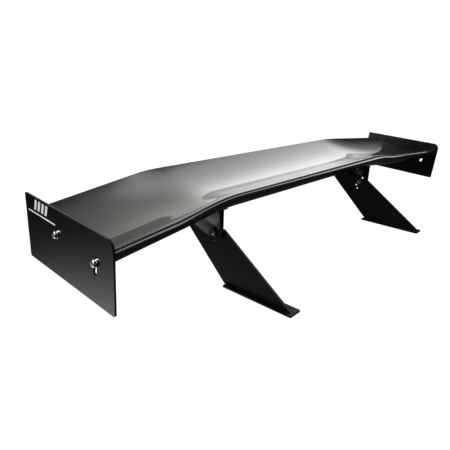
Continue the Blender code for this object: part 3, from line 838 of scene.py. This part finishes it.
def cut(piece, cutter_mesh):
    cutter = add_piece(piece.name + "_cutter", cutter_mesh, STAINLESS)
    modifier = piece.modifiers.new("Cut", "BOOLEAN")
    modifier.operation = "DIFFERENCE"
    modifier.object = cutter
    mesh = taken_mesh(piece)
    bpy.data.objects.remove(cutter)
    return mesh


def prism(sides, radius, low, high):
    def build(bm):
        bmesh.ops.create_cone(
            bm, cap_ends=True, segments=sides, radius1=radius, radius2=radius, depth=high - low
        )
        bmesh.ops.translate(bm, verts=bm.verts, vec=(0, 0, (high + low) / 2))

    return mesh_from(build)


def bolt_mesh(name, shank, length, head, height, socket, pitch):
    """A button-head bolt: a domed head with a hexagon socket, and ridges for its thread."""
    dome = []
    for i in range(DOME_STEPS + 1):
        angle = math.pi / 2 * (1 - i / DOME_STEPS)
        radius = head * (HEAD_CROWN + (1 - HEAD_CROWN) * math.cos(angle))
        dome.append((radius, height * (HEAD_RIM + (1 - HEAD_RIM) * math.sin(angle))))
    profile = [(0.0, height), *dome, (head, HEAD_EDGE), (head - HEAD_EDGE, 0.0), (shank, 0.0)]
    profile += thread_profile(shank, length, pitch)
    return cut(turned(name, profile), prism(6, socket, height * SOCKET_FLOOR, height * SOCKET_TOP))


def thread_profile(shank, length, pitch):
    """A ridge for each pitch of the thread, then the bolt's narrower point."""
    start = length * THREAD_FROM
    root = shank * THREAD_ROOT
    down, up = THREAD_VALLEY
    profile = [(shank, -start)]
    for i in range(int((length - start - pitch) / pitch)):
        z = -start - pitch * i
        profile += [(root, z - pitch * down), (root, z - pitch * up), (shank, z - pitch * THREAD_CREST)]
    return [*profile, (shank * POINT_RADIUS, -length), (0.0, -length)]


def washer_mesh(name, inner, outer, thickness):
    top, bottom = thickness / 2, -thickness / 2
    profile = [
        (inner, top),
        (outer - WASHER_EDGE, top),
        (outer, top - WASHER_EDGE),
        (outer, bottom + WASHER_EDGE),
        (outer - WASHER_EDGE, bottom),
        (inner, bottom),
    ]
    return taken_mesh(turned(name, profile))


def nut_mesh(name, corner_radius, height, bore_radius):
    """A hexagon nut whose corners are chamfered by a turned blank."""
    flat = corner_radius * math.cos(math.pi / 6)
    drop = (corner_radius - flat) * NUT_CHAMFER
    profile = [
        (0.0, height / 2),
        (flat, height / 2),
        (corner_radius * NUT_BLANK, height / 2 - drop),
        (corner_radius * NUT_BLANK, drop - height / 2),
        (flat, -height / 2),
        (0.0, -height / 2),
    ]
    blank = turned(name, profile)
    hexagon = add_piece(name + "_hexagon", prism(6, corner_radius, -height, height), STAINLESS)
    meet = blank.modifiers.new("Hexagon", "BOOLEAN")
    meet.operation = "INTERSECT"
    meet.object = hexagon
    mesh = cut(blank, prism(ROUND_STEPS, bore_radius, -height, height))
    bpy.data.objects.remove(hexagon)
    return mesh


def facing_out(sign):
    """Turns a fastener's head from local +Z to the outboard side."""
    return Matrix.Rotation(sign * math.pi / 2, 4, "Y")


def node_middle(node):
    low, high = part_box(node)
    return (low + high) / 2


def place_bolt(mesh, kind, node, sign, body, turn):
    """Puts a bolt on its solid's axis, with the top of its head at the solid's outboard end."""
    low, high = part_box(node)
    outer = max(abs(low.x), abs(high.x)) - BOLTS[kind].height
    middle = node_middle(node)
    place = Matrix.Translation((sign * outer, middle.y, middle.z)) @ facing_out(sign)
    piece = add_piece(node + "_turned", mesh, STAINLESS, place @ Matrix.Rotation(turn, 4, "Z"))
    hand_over(piece, body, "stainless", node)


def place_flat(mesh, node, sign, body, turn=0.0):
    """Puts a washer or a nut where its solid is."""
    place = Matrix.Translation(node_middle(node)) @ facing_out(sign) @ Matrix.Rotation(turn, 4, "Z")
    hand_over(add_piece(node + "_turned", mesh, STAINLESS, place), body, "stainless", node)


def rim_and_height(node):
    """A round solid's outer radius, and its length along the span."""
    low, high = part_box(node)
    return (high.y - low.y) / 2, high.x - low.x


def make_fasteners():
    bolts = {kind: bolt_mesh(kind, *sizes) for kind, sizes in BOLTS.items()}
    for order, (label, sign) in enumerate(SIDES):
        for kind in ("pivot", "clamp"):
            make_clamped_bolt(bolts[f"{kind}_bolt"], kind, label, sign)
        make_plate_bolts(bolts["plate_bolt"], label, sign, order)
        make_flange_screws(bolts["flange_screw"], label, sign)


def make_clamped_bolt(mesh, kind, label, sign):
    """The pivot or clamp bolt through a bracket and its upright, with two washers and a nut."""
    bore = BOLTS[f"{kind}_bolt"].shank + GAP
    place_bolt(mesh, f"{kind}_bolt", f"{kind}_bolt_{label}", sign, "pedestals", CLAMPED_TURN)
    ring = washer_mesh(f"{kind}_washer", bore, *rim_and_height(f"{kind}_washer_outer_{label}"))
    for position in ("outer", "inner"):
        place_flat(ring, f"{kind}_washer_{position}_{label}", sign, "pedestals")
    nut = nut_mesh(f"{kind}_nut", *rim_and_height(f"{kind}_nut_{label}"), bore)
    place_flat(nut, f"{kind}_nut_{label}", sign, "pedestals", math.pi / 2)


def make_plate_bolts(mesh, label, sign, order):
    bore = BOLTS["plate_bolt"].shank + GAP
    ring = washer_mesh("plate_washer", bore, *rim_and_height(f"plate_washer_rear_{label}"))
    for row, turn in PLATE_TURNS:
        place_flat(ring, f"plate_washer_{row}_{label}", sign, "wing")
        place_bolt(mesh, "plate_bolt", f"plate_bolt_{row}_{label}", sign, "wing", turn + order)


def make_flange_screws(mesh, label, sign):
    for position, aside in (("inner", -SCREW_SPREAD), ("outer", SCREW_SPREAD)):
        for row, share in zip(("front", "rear"), SCREW_PLACES):
            under, up = screw_frame(sign * (web_middle() + aside), share)
            node = f"flange_screw_{row}_{position}_{label}"
            head_down = (-up).to_track_quat("Z", "Y").to_matrix().to_4x4()
            place = WING_FRAME @ Matrix.Translation(under) @ head_down
            hand_over(add_piece(node + "_turned", mesh, STAINLESS, place), "wing", "stainless", node)


def screw_frame(x, share):
    """The place and upward direction of a flange screw, square to the flange's lower face."""
    depth = -(3 * GAP + FLANGE_THICKNESS)
    reach = BOLTS["flange_screw"].head
    spanwise = surface(x + reach, share, -1, depth) - surface(x - reach, share, -1, depth)
    ahead, behind = share - SCREW_SQUARING, share + SCREW_SQUARING
    chordwise = surface(x, behind, -1, depth) - surface(x, ahead, -1, depth)
    return surface(x, share, -1, depth), spanwise.cross(chordwise).normalized()


def dress_inner_solids():
    """The pieces inside the airfoil keep their solids and take finished materials."""
    for node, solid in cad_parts.items():
        if node.endswith("_spar"):
            material = CARBON
        elif node.startswith(("mount_block", "end_rib", "insert")):
            material = ALUMINIUM
        else:
            continue
        solid.data.materials.clear()
        solid.data.materials.append(material)


# Stage


def make_floor():
    """A pale floor that is white to the eye. Shiny surfaces don't mirror it."""
    height = cad_box[0].z - FLOOR_DROP
    bpy.ops.mesh.primitive_plane_add(size=FLOOR_SIZE, location=(0.0, 0.0, height))
    floor = bpy.context.object
    floor.name = "floor"
    material, shader = new_material("pale_floor")
    shader.inputs["Base Color"].default_value = FLOOR_COLOR
    shader.inputs["Roughness"].default_value = FLOOR_ROUGHNESS
    shader.inputs["Specular IOR Level"].default_value = 0.0
    shader.inputs["Emission Color"].default_value = (1.0, 1.0, 1.0, 1.0)
    tree = material.node_tree
    seen = add_node(tree, "ShaderNodeLightPath").outputs["Is Camera Ray"]
    tree.links.new(between(tree, seen, 0.0, FLOOR_GLOW), shader.inputs["Emission Strength"])
    floor.data.materials.append(material)
    floor.visible_glossy = False


def fade(tree, value, first, second):
    """0 before the first value and 1 after the second, which may be the smaller one."""
    node = add_node(tree, "ShaderNodeMapRange", interpolation_type="SMOOTHSTEP")
    node.inputs["From Min"].default_value = min(first, second)
    node.inputs["From Max"].default_value = max(first, second)
    node.inputs["To Min"].default_value = float(first > second)
    node.inputs["To Max"].default_value = float(first < second)
    tree.links.new(value, node.inputs["Value"])
    return node.outputs[0]


def backdrop_glow(tree, across, up):
    """An even wash over the backdrop, with a brighter round patch in it."""
    wash = WASH_GLOW
    for place, edge in ((across, WASH_LEFT), (across, WASH_RIGHT), (up, WASH_TOP), (up, WASH_BOTTOM)):
        wash = calculate(tree, "MULTIPLY", wash, fade(tree, place, *edge))
    patch = calculate(tree, "MULTIPLY", round_patch(tree, across, up), fade(tree, up, *PATCH_BOTTOM))
    return calculate(tree, "ADD", wash, calculate(tree, "MULTIPLY", patch, PATCH_GLOW))


def round_patch(tree, across, up):
    """1 near the patch's centre and 0 past its reach, which differs by side."""
    left, right, top = PATCH_REACH
    aside = calculate(tree, "SUBTRACT", across, PATCH_CENTRE[0])
    to_right = calculate(tree, "DIVIDE", aside, right)
    to_left = calculate(tree, "DIVIDE", aside, -left)
    aside = calculate(tree, "MAXIMUM", to_right, to_left)
    above = calculate(tree, "DIVIDE", calculate(tree, "SUBTRACT", up, PATCH_CENTRE[1]), top)
    above = calculate(tree, "MAXIMUM", above, 0.0)
    squares = [calculate(tree, "MULTIPLY", length, length) for length in (aside, above)]
    radius = calculate(tree, "SQRT", calculate(tree, "ADD", *squares))
    return fade(tree, radius, *PATCH_FADE)


def make_panel():
    """A lit backdrop that the wing's top mirrors. It's seen only as a light."""
    right = Vector((math.cos(PANEL_BEARING), -math.sin(PANEL_BEARING), 0.0))
    away = Vector((math.sin(PANEL_BEARING), math.cos(PANEL_BEARING), 0.0))
    axes = Matrix((right, Vector((0.0, 0.0, 1.0)), -away)).transposed().to_4x4()
    left, right_end, top = WASH_LEFT[0], WASH_RIGHT[0], WASH_TOP[0]
    corners = ((left, 0.0, 0.0), (right_end, 0.0, 0.0), (right_end, top, 0.0), (left, top, 0.0))
    mesh = bpy.data.meshes.new("panel")
    mesh.from_pydata(corners, [], [(0, 1, 2, 3)])
    material, shader = new_material("panel_light")
    tree = material.node_tree
    _, place = object_axes(tree)
    shader.inputs["Base Color"].default_value = (0.0, 0.0, 0.0, 1.0)
    shader.inputs["Specular IOR Level"].default_value = 0.0
    tint = blend_color(tree, fade(tree, place["X"], *TINT_CHANGES), LEFT_TINT, RIGHT_TINT)
    tree.links.new(tint, shader.inputs["Emission Color"])
    tree.links.new(backdrop_glow(tree, place["X"], place["Y"]), shader.inputs["Emission Strength"])
    panel = add_piece("panel", mesh, material, Matrix.Translation(PANEL_DISTANCE * away) @ axes)
    panel.visible_camera = False


def make_lamp():
    light = bpy.data.lights.new("floor_pool", "SPOT")
    light.spot_size = LAMP_CONE
    light.spot_blend = 1.0
    light.shadow_soft_size = LAMP_RADIUS
    light.energy = LAMP_POWER
    lamp = bpy.data.objects.new("floor_pool", light)
    bpy.context.scene.collection.objects.link(lamp)
    lamp.location = LAMP_PLACE
    toward_lamp = Vector(LAMP_PLACE) - Vector(LAMP_TARGET)
    lamp.rotation_euler = toward_lamp.to_track_quat("Z", "Y").to_euler()


def make_world():
    """White to the eye, and a dim room with soft boxes as a light."""
    world = bpy.data.worlds.new("studio")
    bpy.context.scene.world = world
    world.use_nodes = True
    tree = world.node_tree
    direction = add_node(tree, "ShaderNodeSeparateXYZ")
    tree.links.new(add_node(tree, "ShaderNodeTexCoord").outputs["Generated"], direction.inputs[0])
    bearing = calculate(tree, "ARCTAN2", direction.outputs["X"], direction.outputs["Y"])
    elevation = calculate(tree, "ARCSINE", direction.outputs["Z"])
    glow = ROOM_GLOW
    for *edges, radiance in SOFT_BOXES:
        box = radiance
        for angle, (dark, bright) in zip((bearing, bearing, elevation, elevation), edges):
            inside = fade(tree, angle, math.radians(dark), math.radians(bright))
            box = calculate(tree, "MULTIPLY", box, inside)
        glow = calculate(tree, "ADD", glow, box)
    seen = add_node(tree, "ShaderNodeLightPath").outputs["Is Camera Ray"]
    strength = calculate(tree, "MAXIMUM", glow, seen)
    background = tree.nodes["Background"]
    background.inputs["Color"].default_value = (1.0, 1.0, 1.0, 1.0)
    tree.links.new(strength, background.inputs["Strength"])


def make_camera():
    camera = bpy.data.cameras.new("camera")
    camera.sensor_width = CAMERA_SENSOR
    camera.lens = CAMERA_LENS
    camera.clip_start = 0.05
    body = bpy.data.objects.new("camera", camera)
    bpy.context.scene.collection.objects.link(body)
    body.location = CAMERA_PLACE
    body.rotation_euler = [math.radians(angle) for angle in CAMERA_ANGLES]
    bpy.context.scene.camera = body


make_airfoil()
for label, sign in SIDES:
    make_end_plate(label, sign)
    make_upright(label)
    make_foot(label)
    make_bracket(label, sign)
make_fasteners()
dress_inner_solids()
make_floor()
make_panel()
make_world()
make_lamp()
make_camera()
bpy.context.scene.view_settings.view_transform = "Standard"
